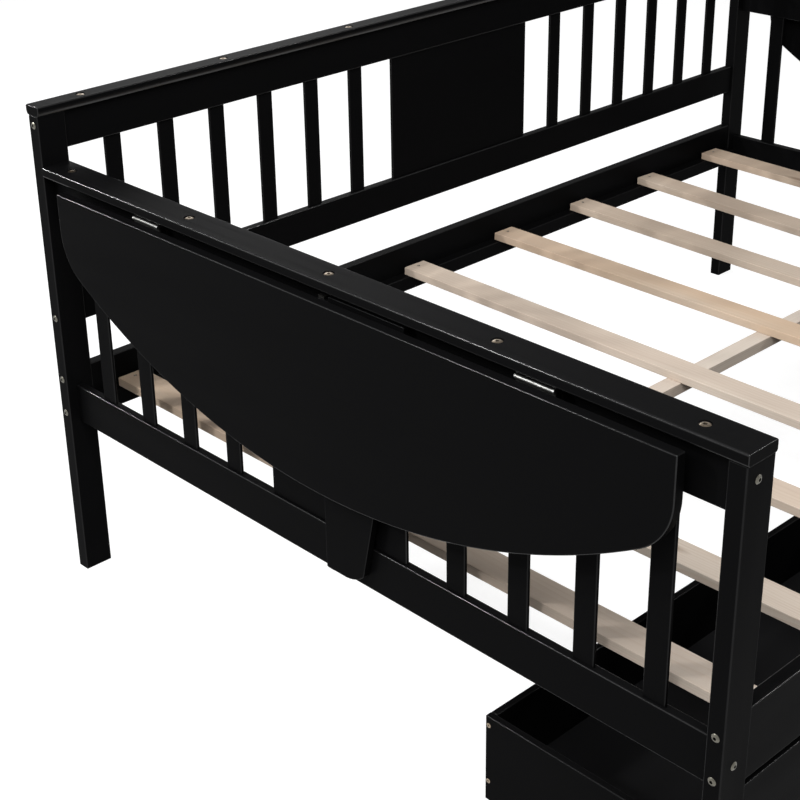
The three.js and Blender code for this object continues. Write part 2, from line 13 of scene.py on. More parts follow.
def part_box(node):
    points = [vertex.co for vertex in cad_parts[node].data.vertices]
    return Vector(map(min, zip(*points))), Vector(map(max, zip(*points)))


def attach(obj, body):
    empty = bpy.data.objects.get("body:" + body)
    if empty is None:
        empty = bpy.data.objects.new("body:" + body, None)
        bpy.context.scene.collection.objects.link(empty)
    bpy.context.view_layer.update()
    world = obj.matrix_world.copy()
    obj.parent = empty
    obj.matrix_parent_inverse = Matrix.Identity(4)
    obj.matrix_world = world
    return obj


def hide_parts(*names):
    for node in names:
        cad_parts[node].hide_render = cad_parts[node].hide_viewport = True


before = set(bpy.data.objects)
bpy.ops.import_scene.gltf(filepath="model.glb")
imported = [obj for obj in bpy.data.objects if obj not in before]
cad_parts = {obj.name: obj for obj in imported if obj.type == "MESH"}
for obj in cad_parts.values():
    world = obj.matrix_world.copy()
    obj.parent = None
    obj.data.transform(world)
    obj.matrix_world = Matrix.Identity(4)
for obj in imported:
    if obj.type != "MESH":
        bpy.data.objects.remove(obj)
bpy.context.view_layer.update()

bl_info = {
    "name": "Daybed with Drawers",
    "version": (1, 0, 0),
    "blender": (4, 5, 0),
    "location": "View3D > Sidebar > Daybed",
    "description": "Finishes a daybed with rolling drawers and a drop leaf table at each end",
    "category": "Object",
}

ENDS = {"left": -1, "right": 1}
CORNERS = {
    "rear_left": (-1, 1),
    "rear_right": (1, 1),
    "front_left": (-1, -1),
    "front_right": (1, -1),
}
DRAWERS = ("drawer_1", "drawer_2")

QUARTER = math.pi / 2
UP = (0, 0, 1)
ARC_STEPS = 4
BOW_STEPS = 96
CORNER_STEPS = 20
SWEEP_STEPS = 16
BOLT_STEPS = 32
SCREW_STEPS = 20
DRAWER_SCREW_STEPS = 24
WHEEL_STEPS = 64
# An arc of a smaller radius than this is an eased edge.
LARGEST_EASED_EDGE = 0.01
SMOOTH_ANGLE = math.radians(38)
CUT_ANGLE = math.radians(50)

SEAT_GAP = 0.0003
CLEAT_OVERLAP = 0.001
SLAT_WIDTH = 0.055
SLAT_THICKNESS = 0.016
SLAT_SCREW_INSET = 0.014
SLAT_SCREW = 0.0062
PLANED_EDGE = 0.0012
PLANED_END = 0.0008
DRAWER_SCREW = 0.0078
# Screws into a drawer's back, above a side's lower edge and below its upper edge.
DRAWER_SCREW_FOOT = 0.036
DRAWER_SCREW_TOP = 0.0155
CAP_BOLT_RISE = 0.0013
CAP_BOLT_SPACING = 0.3177
CAP_BOLT_ASIDE = 0.002
BACK_CAP_BOLTS = 7
BACK_CAP_BOLT_INSET = 0.096
HINGE_PLATE = 0.0016
HINGE_SCREW_SPACING = 0.022
HINGE_SCREW_HEIGHT = 0.010
# Heights of the bolts in the end faces of the front posts (-1) and of the rear posts (1).
END_BOLTS = {-1: (0.3964, 0.3311), 1: (0.3897, 0.3241, 0.5077, 0.8563)}
# Bolts in a post's front or rear face: how far outside the post's middle, and how high.
FACE_BOLTS = ((0.0040, 0.7461), (0.0023, 0.3480))
# How warm each slat's colour is at its front end and at its rear end.
SLAT_TONES = (
    (0.0, 0.9), (0.1, 0.3), (0.3, 0.3), (0.0, 0.3), (1.0, 0.8), (0.2, 0.5), (0.2, 0.5), (0.4, 0.7)
)
# How much the eased edges of painted pieces shine, as the tone of the piece.
CAP_SHINE = LOWER_RAIL_SHINE = 1.0
LEAF_SHINE = 0.7
BOARD_SHINE = 0.6
# The first seed of each group of boards. A seed picks the place in the wood that a board is cut from.
SEEDS = {
    "posts": 100, "boards": 200, "back": 300, "ends": 340, "side_rails": 400, "back_cap": 500,
    "end_caps": 520, "leaves": 600, "brackets": 650, "slats": 700, "beam": 770, "drawers": 800,
}
# Each metal's material name and roughness, by the name of its colour.
METALS = {
    "zinc": ("zinc plated steel", 0.28),
    "hinge": ("dull hinge steel", 0.36),
    "bolt": ("dull plated bolts", 0.30),
    "brass": ("yellow plated steel", 0.34),
}
WHITE = (1.0, 1.0, 1.0, 1.0)
FLOOR_REACH = 14.0
FLOOR_GLOW = 0.82
ROOM_LIGHT = 0.16
# Each lamp's place, the point that it faces, its diameter and its power in watts.
LAMPS = {
    "key_light": ((-2.0, -1.0, 2.9), (0.0, 0.0, 0.3), 2.2, 104.0),
    "rear_light": ((1.9, 3.9, 2.6), (0.0, 0.2, 0.5), 2.2, 34.0),
    "cap_edge_light": ((-3.3, 5.0, 3.1), (-0.8, 0.0, 0.5), 0.3, 110.0),
    "rail_edge_light": ((-4.3, 2.75, 3.2), (-0.8, 0.0, 0.4), 0.3, 100.0),
    "front_edge_light": ((2.7, -3.1, 3.2), (-0.8, -0.5, 0.5), 0.35, 36.0),
}
# Lengths that a user can change, in metres.
SIZES = {
    "edge_round": (0.002, "Radius of the eased edges of rails and boards"),
    "post_round": (0.0022, "Radius of the posts' long edges"),
    "end_round": (0.0012, "Radius at the sawn ends of boards"),
    "back_rail_height": (0.0645, "Height of the back's lower rail"),
    "end_rail_height": (0.072, "Height of an end's lower rail"),
    "tenon": (0.005, "How far a spindle goes into its rail"),
    "back_spindle": (0.034, "Width of a spindle of the back"),
    "end_spindle": (0.036, "Width of a spindle of an end"),
    "spindle_thickness": (0.006, "Thickness of every spindle"),
    "side_rail": (0.020, "Thickness of the two side rails"),
    "cleat_height": (0.030, "Height of the cleats under the slats"),
    "cap_band": (0.007, "Upright band at the top of the back cap's edge"),
    "cap_ease": (0.005, "How far the back cap's edge runs in below its band"),
    "cap_top_round": (0.003, "Radius of an end cap's top edges"),
    "cap_under_round": (0.004, "Quarter round under an end cap"),
    "counterbore": (0.0168, "Diameter of the recesses in the caps"),
    "counterbore_depth": (0.0016, "Depth of those recesses"),
    "cap_bolt": (0.0146, "Diameter of the bolt heads in the caps"),
    "leaf_drop": (0.3055, "Height of the leaf at its middle"),
    "leaf_bow": (1.126, "Radius of the leaf's bowed edge"),
    "leaf_corner": (0.095, "Radius of the leaf's lower corners"),
    "bracket_flat": (0.039, "Flat length of the bracket's lower edge"),
    "bracket_foot": (0.0805, "Width of the bracket at its foot"),
    "bracket_sweep": (0.060, "Radius of the sweep of its lower edge"),
    "bracket_notch": (0.024, "Width of the notch over its pivot"),
    "bracket_notch_drop": (0.008, "Height of that notch"),
    "bolt_head": (0.0122, "Diameter of the domed bolt heads"),
    "bolt_rise": (0.0018, "Height of a bolt head"),
    "screw_head": (0.0075, "Diameter of the small screw heads"),
}
# Colours that a user can change, linear.
COLOURS = {
    "paint": ((0.0034, 0.0034, 0.0036), "Satin black paint"),
    # Paler paint on the eased edges, also the colour of the dust: partly worn thin paint, partly a painted
    # highlight along the edges.
    "worn_paint": ((0.016, 0.016, 0.0165), "Thin paint on the eased edges"),
    "pine_light": ((0.65, 0.575, 0.50), "Pale wood between the rings"),
    "pine_dark": ((0.47, 0.345, 0.24), "Darker rings and fibres"),
    "pine_warm": ((0.60, 0.42, 0.27), "Yellower wood of some slats"),
    "pine_blotch": ((0.50, 0.40, 0.33), "Greyish brown blotches"),
    "pine_knot": ((0.20, 0.10, 0.05), "Dark knots"),
    "zinc": ((0.54, 0.53, 0.50), "Plated steel of screws and pivots"),
    "hinge": ((0.155, 0.155, 0.15), "Dull steel of the hinges"),
    "bolt": ((0.145, 0.138, 0.115), "Dull plating of the bolts in the posts"),
    "brass": ((0.31, 0.25, 0.185), "Yellow plating of the bolts in the caps"),
    "board": ((0.0085, 0.0085, 0.009), "Dark faced board of the drawer bottoms"),
    "wheel": ((0.014, 0.014, 0.014), "Black moulded wheels"),
    "wheel_dust": ((0.06, 0.06, 0.06), "Dust on the wheels"),
    "floor": ((0.34, 0.34, 0.34), "Pale floor"),
}


def label(name):
    """A property's name as a user reads it."""
    return name.replace("_", " ").capitalize()


def angle_property(name, description, degrees):
    """An angle that a user can change, given here in degrees."""
    return bpy.props.FloatProperty(
        name=name, description=description, default=math.radians(degrees), subtype="ANGLE"
    )


class DAYBED_PG_sizes(bpy.types.PropertyGroup):
    """Sizes that the finished pieces add to those of the frame."""

    __annotations__ = {
        name: bpy.props.FloatProperty(
            name=label(name), description=description, default=default, min=0.0, unit="LENGTH", precision=4
        )
        for name, (default, description) in SIZES.items()
    }


class DAYBED_PG_colours(bpy.types.PropertyGroup):
    """Colours of the finishes."""

    __annotations__ = {
        name: bpy.props.FloatVectorProperty(
            name=label(name), description=description, default=default, subtype="COLOR", min=0.0, max=1.0
        )
        for name, (default, description) in COLOURS.items()
    }


class DAYBED_PG_stage(bpy.types.PropertyGroup):
    """Where the camera stands, in the frame of the daybed."""

    camera_place: bpy.props.FloatVectorProperty(
        name="Camera place", description="Position of the camera", subtype="TRANSLATION",
        default=(-2.3494, -1.5702, 1.6481),
    )
    camera_heading: angle_property("Heading", "Direction of view, from +Y towards +X", 42.405)
    camera_dip: angle_property("Dip", "Angle of view below level", 24.8475)
    camera_roll: angle_property("Roll", "Turn about the line of sight", -1.484)
    focal_length: bpy.props.FloatProperty(
        name="Focal length", description="For a film 36 mm wide", default=72.963, subtype="DISTANCE_CAMERA"
    )
    shift: bpy.props.FloatVectorProperty(
        name="Shift", description="Lens shift of the cropped picture", default=(0.0416, -0.0769), size=2
    )


def sizes():
    return bpy.context.scene.daybed_sizes


def colours():
    return bpy.context.scene.daybed_colours


def box(node):
    """The low and the high corner of a node's box."""
    return [np.array(corner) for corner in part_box(node)]


def new_object(name, data):
    """An object in the scene, at the origin."""
    made = bpy.data.objects.new(name, data)
    bpy.context.scene.collection.objects.link(made)
    return made


class Piece:
    """Vertices, faces and the values that materials read, gathered from several forms into one mesh."""

    def __init__(self):
        self.points, self.faces, self.grain, self.edge, self.tone = [], [], [], [], []
        self.count = 0

    def add(self, points, faces, grain=None, edge=None, tone=0.0):
        """Adds a form. Without a grain of its own it takes its points, and without edges it has none."""
        points = np.asarray(points, float).reshape(-1, 3)
        self.faces += [tuple(int(i) + self.count for i in face) for face in faces]
        self.points.append(points)
        self.grain.append(points if grain is None else np.asarray(grain, float).reshape(-1, 3))
        self.edge.append(np.zeros(len(points)) if edge is None else np.asarray(edge, float).ravel())
        self.tone.append(np.full(len(points), tone))
        self.count += len(points)
        return self

    def turn(self, angle, centre):
        """Turns the points about the upright line through a centre: (x cos - y sin, x sin + y cos)."""
        cos, sin = math.cos(angle), math.sin(angle)
        basis = np.array([[cos, -sin, 0.0], [sin, cos, 0.0], [0.0, 0.0, 1.0]])
        self.points = [(points - centre) @ basis.T + centre for points in self.points]

    def mesh(self, name):
        mesh = bpy.data.meshes.new(name)
        mesh.from_pydata(np.concatenate(self.points).tolist(), [], self.faces)
        return mesh

    def build(self, name, material, body, slot, nodes=(), smooth_angle=None):
        """The object. Its flat faces stay flat, or it is smooth up to the given angle."""
        mesh = self.mesh(name)
        for title in ("grain", "edge", "tone"):
            kind, field = ("FLOAT_VECTOR", "vector") if title == "grain" else ("FLOAT", "value")
            values = np.concatenate(getattr(self, title)).astype(np.float32)
            mesh.attributes.new(title, kind, "POINT").data.foreach_set(field, values.ravel())
        mesh.shade_smooth()
        mesh.materials.append(material)
        piece = new_object(name, mesh)
        if smooth_angle is None:
            keep_flat(piece)
        else:
            mesh.set_sharp_from_angle(angle=smooth_angle)
        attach(piece, body)
        if nodes:
            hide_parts(*nodes)
        return piece

    def paint(self, node, body="frame"):
        """The black painted piece that takes a node's place."""
        return self.build(f"{node}_painted", black_paint(), body, "black_paint", [node])

    def fasten(self, name, metal, body="frame"):
        """Heads of bolts or screws."""
        return self.build(name, plated(metal), body, "steel", smooth_angle=SMOOTH_ANGLE)


def keep_flat(piece):
    """Weights the normals by face area, so that shading bends on the eased edges only."""
    weighted = piece.modifiers.new("flat faces stay flat", "WEIGHTED_NORMAL")
    weighted.weight = 100
    return weighted


def outline(arcs):
    """Points, outward normals and edge values of a closed outline.

    Each arc is (x, y, x radius, y radius, from, to, steps). A point is the centre plus the radii times
    cosine and sine, the normal is the same with the radii swapped, and the edge value is a half sine over
    the arc. An arc that runs clockwise is a hollow corner, and its normal points at its centre.
    """
    points, normals, edges = [], [], []
    for x, y, rx, ry, start, stop, steps in arcs:
        t = np.linspace(start, stop, steps + 1)
        points.append(np.stack([x + rx * np.cos(t), y + ry * np.sin(t)], 1))
        normal = np.stack([np.cos(t) * ry, np.sin(t) * rx], 1) * (1.0 if stop > start else -1.0)
        normals.append(normal / np.linalg.norm(normal, axis=1, keepdims=True))
        swell = np.sin(np.linspace(0.0, math.pi, steps + 1))
        edges.append(swell if abs(rx) < LARGEST_EASED_EDGE else np.zeros(steps + 1))
    return np.concatenate(points), np.concatenate(normals), np.concatenate(edges)


def eased(x, y, radius, start, stop, steps=ARC_STEPS):
    """A round arc about a centre."""
    return (x, y, radius, radius, start, stop, steps)


def rectangle(low_x, high_x, low_y, high_y, radius):
    """Arcs of a rectangle with round corners, counterclockwise from its right side."""
    r = min(radius, 0.49 * (high_x - low_x), 0.49 * (high_y - low_y))
    left, right, bottom, top = low_x + r, high_x - r, low_y + r, high_y - r
    corners = ((right, top), (left, top), (left, bottom), (right, bottom))
    return [eased(x, y, r, i * QUARTER, (i + 1) * QUARTER) for i, (x, y) in enumerate(corners)]


def tube(rows, count, closed=False):
    """Quads between each ring of points and the next, and a flat face over each end.

    A closed tube has no ends: its last ring is joined to its first.
    """
    i, j = np.meshgrid(np.arange(rows if closed else rows - 1), np.arange(count), indexing="ij")
    k, n = (j + 1) % count, (i + 1) % rows
    corners = [i * count + j, i * count + k, n * count + k, n * count + j]
    faces = np.stack(corners, 2).reshape(-1, 4).tolist()
    ring = np.arange(count)
    return faces if closed else [*faces, ring[::-1].tolist(), ((rows - 1) * count + ring).tolist()]


def pushed(arcs, start, stop, axis, round_end, seed, grain_along=0):
    """An outline pushed along an axis from start to stop, with eased ends.

    A ring at angle a of an end's rounding stands in by R(1 - cos a) along the outline's normals and lies
    R(1 - sin a) from the end. Axis 0 takes the outline in (Y, Z), axis 1 in (X, Z) and axis 2 in (X, Y).
    The wood's grain runs along the push (0) or along one of the outline's two directions (1 or 2).
    """
    points, normals, edges = outline(arcs)
    angle = np.linspace(QUARTER, 0.0, ARC_STEPS)
    angle = np.concatenate([angle, angle[::-1]])
    inset = round_end * (1.0 - np.cos(angle))
    ahead = round_end * (1.0 - np.sin(angle))
    level = np.concatenate([start + ahead[:ARC_STEPS], stop - ahead[ARC_STEPS:]])
    ring = points - inset[:, None, None] * normals
    along = np.broadcast_to(level[:, None], ring.shape[:2])
    edge = np.maximum(edges * np.cos(angle)[:, None], np.sin(2.0 * angle)[:, None])
    order = {0: (2, 0, 1), 1: (0, 2, 1), 2: (0, 1, 2)}[axis]
    placed = np.concatenate([ring, along[:, :, None]], 2)[:, :, order]
    faces = tube(*ring.shape[:2])
    if axis == 1:
        faces = [face[::-1] for face in faces]
    shift = np.random.default_rng(seed).uniform((0.0, -0.06, 0.02), (9.0, 0.06, 0.07))
    grain = np.concatenate([along[:, :, None], ring - points.mean(0)], 2) + shift
    return placed, faces, grain[:, :, ((0, 1, 2), (1, 2, 0), (2, 1, 0))[grain_along]], edge


def board(piece, low, high, seed, tone=0.0, radius=None, round_end=None):
    """A board between two corners, with its grain along its longest side."""
    radius = sizes().edge_round if radius is None else radius
    round_end = sizes().end_round if round_end is None else round_end
    low, high = np.array(low), np.array(high)
    axis = int(np.argmax(high - low))
    u, v = {0: (1, 2), 1: (0, 2), 2: (0, 1)}[axis]
    arcs = rectangle(low[u], high[u], low[v], high[v], radius)
    piece.add(*pushed(arcs, low[axis], high[axis], axis, min(round_end, 0.8 * radius), seed), tone)


def painted_board(node, seed, body="frame", tone=0.0, radius=None):
    """A black board in a node's place."""
    piece = Piece()
    board(piece, *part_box(node), seed, tone, radius)
    piece.paint(node, body)


def turned(piece, rings, place, direction, steps=SCREW_STEPS):
    """A form turned about an axis at a place: each ring is (radius or function of the angle, height).

    A point is the place plus the radius times (cos, sin) in the plane across the direction, plus the
    height along the direction.
    """
    angle = np.linspace(0.0, 2.0 * math.pi, steps, endpoint=False)
    basis = Vector(direction).normalized().to_track_quat("Z", "Y").to_matrix()
    radius = np.array([r(angle) if callable(r) else np.full(steps, r) for r, _ in rings])
    height = np.broadcast_to(np.array([z for _, z in rings])[:, None], radius.shape)
    local = np.stack([radius * np.cos(angle), radius * np.sin(angle), height], 2)
    placed = local @ np.array(basis).T + np.array(place)
    piece.add(placed, tube(*radius.shape))


def hexagon(across_flats):
    """Radius of a hexagon at an angle: half its width over the cosine of the angle to the nearest flat."""
    return lambda angle: 0.5 * across_flats / np.cos(np.mod(angle, math.pi / 3.0) - math.pi / 6.0)


def bolt_rings(diameter, rise, sunk=0.0005):
    """Rings of a domed head with a hexagon socket that is open down to the dark wood.

    At share s of the way in, the radius has shrunk evenly and the height is rise times sin(s 90 degrees).
    """
    half = 0.5 * diameter
    socket = 0.36 * diameter
    slope = 0.96 * np.linspace(0.0, 1.0, 6)
    dome = [(half - (half - 0.62 * socket) * s, rise * math.sin(s * QUARTER)) for s in slope.tolist()]
    inside = hexagon(0.96 * socket)
    return [(half, -sunk), *dome, (hexagon(socket), rise), (inside, rise - 0.0004), (inside, -0.8 * sunk)]


def screw_rings(diameter, rise=0.0006):
    """Rings of a flat screw head with a round drive recess."""
    half = 0.5 * diameter
    rim = [(half, -0.0004), (half, 0.3 * rise), (0.82 * half, rise)]
    return [*rim, (0.36 * half, rise), (0.28 * half, -0.0003)]


class Graph:
    """A node tree that is written one node at a time."""

    def __init__(self, tree):
        self.tree = tree

    def node(self, kind, inputs=None, **settings):
        node = self.tree.nodes.new(kind)
        for key, value in settings.items():
            setattr(node, key, value)
        return self.fill(node, inputs or {})

    def fill(self, node, inputs):
        """Links the sockets among the given values to the node's inputs, and sets the others on them."""
        for key, value in inputs.items():
            if isinstance(value, bpy.types.NodeSocket):
                self.tree.links.new(value, node.inputs[key])
            else:
                node.inputs[key].default_value = value
        return node

    def group(self, tree, inputs):
        """The outputs of a node group with its inputs set."""
        return self.node("ShaderNodeGroup", inputs, node_tree=tree).outputs

    def attribute(self, name):
        return self.node("ShaderNodeAttribute", attribute_name=name).outputs

    def place(self):
        return self.node("ShaderNodeTexCoord").outputs["Object"]

    def math(self, operation, first, second=0.0, clamp=False):
        inputs = {0: first, 1: second}
        return self.node("ShaderNodeMath", inputs, operation=operation, use_clamp=clamp).outputs[0]

    def times(self, first, second):
        return self.math("MULTIPLY", first, second)

    def mix(self, factor, first, second):
        """Two colours mixed by a factor."""
        first, second = (c if isinstance(c, bpy.types.NodeSocket) else (*c, 1.0) for c in (first, second))
        return self.node("ShaderNodeMix", {0: factor, 6: first, 7: second}, data_type="RGBA").outputs[2]

    def span(self, value, low, high, new_low, new_high):
        """The value's range from low to high carried over to a new range, clamped."""
        inputs = {0: value, 1: low, 2: high, 3: new_low, 4: new_high}
        return self.node("ShaderNodeMapRange", inputs).outputs[0]

    def stretched(self, vector, scale):
        return self.node("ShaderNodeMapping", {"Vector": vector, "Scale": scale}).outputs[0]

    def noise(self, vector, scale, detail=3.0, roughness=0.5):
        """Noise of one scale, or of a scale for each direction."""
        if isinstance(scale, tuple):
            vector, scale = self.stretched(vector, scale), 1.0
        inputs = {"Vector": vector, "Scale": scale, "Detail": detail, "Roughness": roughness}
        return self.node("ShaderNodeTexNoise", inputs).outputs["Fac"]

    def bump(self, height, strength, distance):
        inputs = {"Height": height, "Strength": strength, "Distance": distance}
        return self.node("ShaderNodeBump", inputs).outputs["Normal"]


def effect(name, inputs):
    """Turns a maker of outputs into one that finds or makes the shader node group of that name.

    The group has a vector input and the given number inputs, and every output is a number.
    """

    def decorate(make):
        def find_or_make():
            if name in bpy.data.node_groups:
                return bpy.data.node_groups[name]
            tree = bpy.data.node_groups.new(name, "ShaderNodeTree")
            tree.interface.new_socket("Vector", in_out="INPUT", socket_type="NodeSocketVector")
            for title, default in inputs.items():
                socket = tree.interface.new_socket(title, in_out="INPUT", socket_type="NodeSocketFloat")
                socket.default_value = default
            graph = Graph(tree)
            outputs = make(graph, tree.nodes.new("NodeGroupInput").outputs)
            for title in outputs:
                tree.interface.new_socket(title, in_out="OUTPUT", socket_type="NodeSocketFloat")
            graph.fill(tree.nodes.new("NodeGroupOutput"), outputs)
            return tree

        return find_or_make

    return decorate


@effect("pine figure", {"Ring spacing": 0.004})
def pine_figure(graph, given):
    """Growth rings as circles about a wandering pith, fine fibres along the board, blotches and knots."""
    vector = given["Vector"]
    wander = graph.noise(vector, (1.6, 9.0, 9.0), 2.0)
    bend = graph.times(graph.math("SUBTRACT", wander, 0.5), 0.05)
    parts = graph.node("ShaderNodeSeparateXYZ", {"Vector": vector}).outputs
    across = graph.math("POWER", graph.math("ADD", parts["Y"], bend), 2.0)
    distance = graph.math("SQRT", graph.math("ADD", across, graph.math("POWER", parts["Z"], 2.0)))
    ring = graph.math("FRACT", graph.math("DIVIDE", distance, given["Ring spacing"]))
    fall = graph.span(ring, 0.93, 1.0, 1.0, 0.0)
    cells = {"Vector": graph.stretched(vector, (2.0, 11.0, 11.0)), "Scale": 1.0}
    spots = graph.node("ShaderNodeTexVoronoi", cells).outputs["Distance"]
    return {
        "Rings": graph.times(graph.math("POWER", ring, 3.0), fall),
        "Fibres": graph.noise(vector, (9.0, 900.0, 900.0), 3.0, 0.6),
        "Blotches": graph.noise(vector, (2.2, 14.0, 14.0)),
        "Knots": graph.span(spots, 0.05, 0.11, 1.0, 0.0),
    }


@effect("paint film", {"Fibre share": 0.5})
def paint_film(graph, given):
    """Sprayed paint over wood: a fine ripple, the wood's fibres showing through, and uneven gloss."""
    vector = given["Vector"]
    ripple = graph.times(graph.noise(vector, 420.0, 2.0), 0.5)
    fibres = graph.noise(vector, (14.0, 700.0, 700.0), 3.0, 0.6)
    return {
        "Height": graph.math("ADD", ripple, graph.times(fibres, given["Fibre share"])),
        "Gloss": graph.noise(vector, (3.0, 20.0, 20.0), 4.0),
        "Dust": graph.span(graph.noise(vector, 1500.0, 1.0), 0.70, 0.78, 0.0, 1.0),
    }


@effect("edge wear and highlight", {"Edge": 0.0, "Spread": 0.5})
def edge_wear_and_highlight(graph, given):
    """Where an eased edge shows lighter, partly as worn thin paint and partly as a painted highlight: the
    piece's own edge value, broken up by noise.
    """
    patch = graph.noise(given["Vector"], (30.0, 90.0, 90.0))
    worn_and_highlight = graph.times(given["Edge"], graph.span(patch, 0.3, 0.7, 0.35, 1.0))
    return {"Worn": graph.times(worn_and_highlight, given["Spread"])}


@effect("brushed plating", {})
def brushing(graph, given):
    """Short scratches across a plated surface, and cloudy plating."""
    return {
        "Scratches": graph.noise(given["Vector"], (2500.0, 120.0, 2500.0), 2.0),
        "Clouds": graph.noise(given["Vector"], 260.0),
    }


def finish(name):
    """Turns a function that links a Principled shader into one that finds or makes the material."""

    def decorate(link):
        def find_or_make():
            if name not in bpy.data.materials:
                material = bpy.data.materials.new(name)
                material.use_nodes = True
                nodes = material.node_tree
                link(Graph(nodes), nodes.nodes["Principled BSDF"])
            return bpy.data.materials[name]

        return find_or_make

    return decorate


@finish("satin black paint")
def black_paint(graph, shader):
    """Paint that is dull on faces and paler on eased edges, partly worn thin paint and partly a painted
    highlight; the edges shine more where the tone is high.
    """
    grain = graph.attribute("grain")["Vector"]
    edge = graph.attribute("edge")["Fac"]
    film = graph.group(paint_film(), {"Vector": grain, "Fibre share": 0.55})
    wear_and_highlight = graph.group(edge_wear_and_highlight(), {"Vector": grain, "Edge": edge, "Spread": 0.55})["Worn"]
    # Eased edges are mixed towards the paler colour: partly worn paint, partly a painted highlight.
    tone = graph.mix(wear_and_highlight, colours().paint, colours().worn_paint)
    dust = graph.times(film["Dust"], 0.35)
    shine = graph.span(graph.attribute("tone")["Fac"], 0.0, 1.0, 0.22, 0.65)
    graph.fill(shader, {
        "Base Color": graph.mix(dust, tone, colours().worn_paint),
        "Roughness": graph.span(film["Gloss"], 0.3, 0.7, 0.38, 0.48),
        "Normal": graph.bump(film["Height"], 0.20, 0.0004),
        "Specular IOR Level": 0.008,
        "Coat Weight": graph.times(edge, shine),
        "Coat Roughness": 0.18,
    })


@finish("pale pine")
def pale_pine(graph, shader):
    """Unfinished pine, warmer where the tone is high, with rings, fibres, blotches and a few knots."""
    grain = graph.attribute("grain")["Vector"]
    figure = graph.group(pine_figure(), {"Vector": grain, "Ring spacing": 0.0042})
    rings, fibres, blotches = figure["Rings"], figure["Fibres"], figure["Blotches"]
    late = tuple(colours().pine_dark)
    ringed = graph.mix(graph.times(rings, 0.42), colours().pine_light, late)
    fibred = graph.mix(graph.span(fibres, 0.35, 0.75, 0.0, 0.28), ringed, tuple(0.8 * c for c in late))
    patchy = graph.span(blotches, 0.25, 0.6, 0.45, 1.0)
    warmth = graph.times(graph.attribute("tone")["Fac"], patchy)
    warm = graph.mix(warmth, fibred, colours().pine_warm)
    blotched = graph.mix(graph.span(blotches, 0.42, 0.72, 0.0, 0.5), warm, colours().pine_blotch)
    knots = graph.times(figure["Knots"], 0.55)
    height = graph.math("ADD", graph.times(fibres, 0.7), graph.times(rings, -0.3))
    graph.fill(shader, {
        "Base Color": graph.mix(knots, blotched, colours().pine_knot),
        "Roughness": graph.span(fibres, 0.3, 0.7, 0.62, 0.75),
        "Normal": graph.bump(height, 0.25, 0.0005),
        "Specular IOR Level": 0.3,
    })


def plated(metal):
    """One of the metals: cloudy plating with short scratches."""
    name, roughness = METALS[metal]

    @finish(name)
    def plating(graph, shader):
        marks = graph.group(brushing(), {"Vector": graph.place()})
        colour = tuple(getattr(colours(), metal))
        clouds = graph.span(marks["Clouds"], 0.3, 0.7, 0.0, 0.45)
        graph.fill(shader, {
            "Base Color": graph.mix(clouds, colour, tuple(0.55 * c for c in colour)),
            "Metallic": 1.0,
            "Roughness": graph.span(marks["Scratches"], 0.3, 0.7, roughness - 0.07, roughness + 0.08),
            "Normal": graph.bump(marks["Scratches"], 0.15, 0.0002),
        })

    return plating()


@finish("dark faced board")
def faced_board(graph, shader):
    """Dark paper-faced hardboard of the drawer bottoms."""
    film = graph.group(paint_film(), {"Vector": graph.place(), "Fibre share": 0.2})
    dark = tuple(colours().board)
    clouds = graph.span(film["Gloss"], 0.3, 0.7, 0.0, 0.5)
    graph.fill(shader, {
        "Base Color": graph.mix(clouds, dark, tuple(1.5 * c for c in dark)),
        "Roughness": graph.span(film["Gloss"], 0.3, 0.7, 0.42, 0.55),
        "Normal": graph.bump(film["Height"], 0.12, 0.0003),
        "Specular IOR Level": 0.03,
    })


@finish("black moulded plastic")
def moulded_plastic(graph, shader):
    """Black plastic of the wheels, with a little dust."""
    film = graph.group(paint_film(), {"Vector": graph.place(), "Fibre share": 0.0})
    dust = graph.times(film["Dust"], 0.5)
    graph.fill(shader, {
        "Base Color": graph.mix(dust, colours().wheel, colours().wheel_dust),
        "Roughness": graph.span(film["Gloss"], 0.3, 0.7, 0.38, 0.52),
        "Normal": graph.bump(film["Height"], 0.2, 0.0003),
    })


def seen_directly(graph):
    """1 for rays from the camera, also by way of a glossy or clear surface, and 0 for diffuse light."""
    path = graph.node("ShaderNodeLightPath").outputs
    rays = graph.math("ADD", path["Is Camera Ray"], path["Is Glossy Ray"])
    return graph.math("ADD", rays, path["Is Transmission Ray"], clamp=True)


@finish("pale floor")
def pale_floor(graph, shader):
    """Cloudy by noise. It glows where it is seen, and its base colour takes the daybed's shadow."""
    pale = tuple(colours().floor)
    clouds = graph.span(graph.noise(graph.place(), 3.0, 4.0), 0.3, 0.7, 0.0, 0.15)
    graph.fill(shader, {
        "Base Color": graph.mix(clouds, pale, tuple(0.97 * c for c in pale)),
        "Roughness": 0.9,
        "Specular IOR Level": 0.1,
        "Emission Color": WHITE,
        "Emission Strength": graph.times(seen_directly(graph), FLOOR_GLOW),
    })


def spindle_centres(low, board_low, board_high, count, width):
    """Centres that leave equal gaps between a post, the spindles and the middle board, on both sides."""
    gap = (board_low - low - count * width) / (count + 1)
    first = low + gap + width / 2 + np.arange(count) * (width + gap)
    middle = 0.5 * (board_low + board_high)
    return np.concatenate([first, 2.0 * middle - first[::-1]])


class DAYBED_OT_posts(bpy.types.Operator):
    """Four posts with round edges"""

    bl_idname = "daybed.posts"
    bl_label = "Posts"

    def execute(self, context):
        for seed, corner in enumerate(CORNERS, SEEDS["posts"]):
            painted_board(f"{corner}_post", seed, radius=sizes().post_round)
        return {"FINISHED"}


